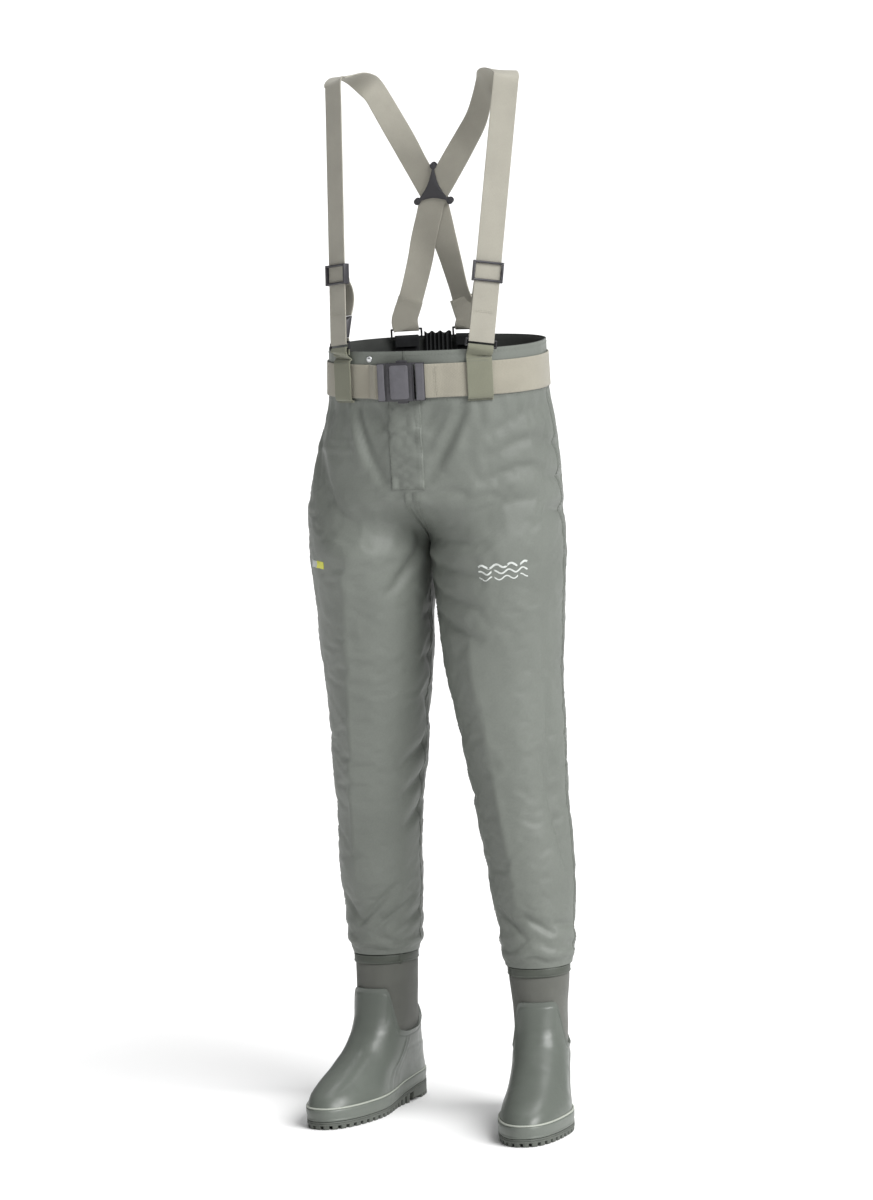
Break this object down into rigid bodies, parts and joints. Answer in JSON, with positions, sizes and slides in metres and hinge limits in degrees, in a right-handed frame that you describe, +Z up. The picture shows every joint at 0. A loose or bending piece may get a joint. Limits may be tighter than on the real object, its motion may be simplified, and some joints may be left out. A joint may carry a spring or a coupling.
{
  "type": "waist-high waders",
  "caption": "Waist-high fishing waders with rubber boots, a webbing belt with a side-release buckle, and crossed suspenders with sliding adjusters.",
  "frame": {"origin": "centre of the box round the whole object, on the floor under the soles", "axes": "+Z up, the front faces -Y, the wearer's right is at -X"},
  "size_m": [0.4246, 0.425, 1.5615],
  "materials": {
    "trouser_laminate": "matt laminated polyester with a fine weave",
    "strap_webbing": "woven polypropylene webbing",
    "belt_webbing": "woven polypropylene webbing",
    "loop_webbing": "woven webbing, olive",
    "lining_fabric": "dark woven lining",
    "snap_metal": "polished cap",
    "black_plastic": "moulded acetal, satin",
    "ring_wire": "black coated wire",
    "boot_rubber": "semi-gloss moulded rubber",
    "piping_rubber": "light rubber line",
    "sole_rubber": "moulded rubber",
    "insole_foam": "felt-topped foam",
    "neoprene": "matt knit-faced neoprene",
    "seam_tape": "glued fabric tape"
  },
  "bodies": {
    "root": {"front_panel_right": "trouser_laminate", "front_panel_left": "trouser_laminate", "back_panel_right": "trouser_laminate", "back_panel_left": "trouser_laminate", "fly_flap": "trouser_laminate", "waist_facing": "lining_fabric", "rear_elastic": "lining_fabric", "waist_snap": "snap_metal", "belt_webbing": "belt_webbing", "belt_stretch": "belt_webbing", "buckle_female": "black_plastic", "belt_loop_right": "loop_webbing", "belt_loop_left": "loop_webbing", "rear_tab_right": "lining_fabric", "rear_tab_left": "lining_fabric", "front_ring_right": "ring_wire", "front_ring_left": "ring_wire", "rear_ring_right": "ring_wire", "rear_ring_left": "ring_wire", "strap_right": "strap_webbing", "strap_left": "strap_webbing", "strap_return_right": "strap_webbing", "strap_return_left": "strap_webbing", "strap_keeper_right": "black_plastic", "strap_keeper_left": "black_plastic", "crossback_front_plate": "black_plastic", "crossback_back_plate": "black_plastic", "crossback_pins": "black_plastic", "boot_upper_right": "boot_rubber", "boot_upper_left": "boot_rubber", "boot_rand_right": "boot_rubber", "boot_rand_left": "boot_rubber", "boot_piping_right": "piping_rubber", "boot_piping_left": "piping_rubber", "outsole_right": "sole_rubber", "outsole_left": "sole_rubber", "heel_block_right": "sole_rubber", "heel_block_left": "sole_rubber", "insole_right": "insole_foam", "insole_left": "insole_foam", "neoprene_shaft_right": "neoprene", "neoprene_shaft_left": "neoprene", "cuff_tape_right": "seam_tape", "cuff_tape_left": "seam_tape", "back_stay_right": "boot_rubber", "back_stay_left": "boot_rubber"},
    "buckle_male": {"buckle_male": "black_plastic"},
    "latch_upper": {"latch_arm_upper": "black_plastic"},
    "latch_lower": {"latch_arm_lower": "black_plastic"},
    "adjuster_right": {"adjuster_right": "black_plastic"},
    "adjuster_left": {"adjuster_left": "black_plastic"}
  },
  "joints": [
    {"name": "buckle_release", "type": "slide", "parent": "root", "child": "buckle_male", "axis": [-1, 0, 0], "range_m": [0, 0.032], "deforming": ["belt_stretch"]},
    {"name": "latch_press_upper", "type": "hinge", "parent": "buckle_male", "child": "latch_upper", "pos_m": [-0.0209, -0.0498, 1.1382], "axis": [0, 1, 0], "range_deg": [0, 6], "stiffness_Nm_per_rad": 2},
    {"name": "latch_press_lower", "type": "hinge", "parent": "buckle_male", "child": "latch_lower", "pos_m": [-0.0209, -0.0498, 1.0878], "axis": [0, -1, 0], "range_deg": [0, 6], "stiffness_Nm_per_rad": 2},
    {"name": "adjuster_slide_right", "type": "slide", "parent": "root", "child": "adjuster_right", "axis": [-0.0131, 0.1835, 0.9829], "range_m": [-0.03, 0.06], "deforming": ["strap_return_right"]},
    {"name": "adjuster_slide_left", "type": "slide", "parent": "root", "child": "adjuster_left", "axis": [0.0957, 0.2225, 0.9702], "range_m": [-0.03, 0.06], "deforming": ["strap_return_left"]}
  ]
}
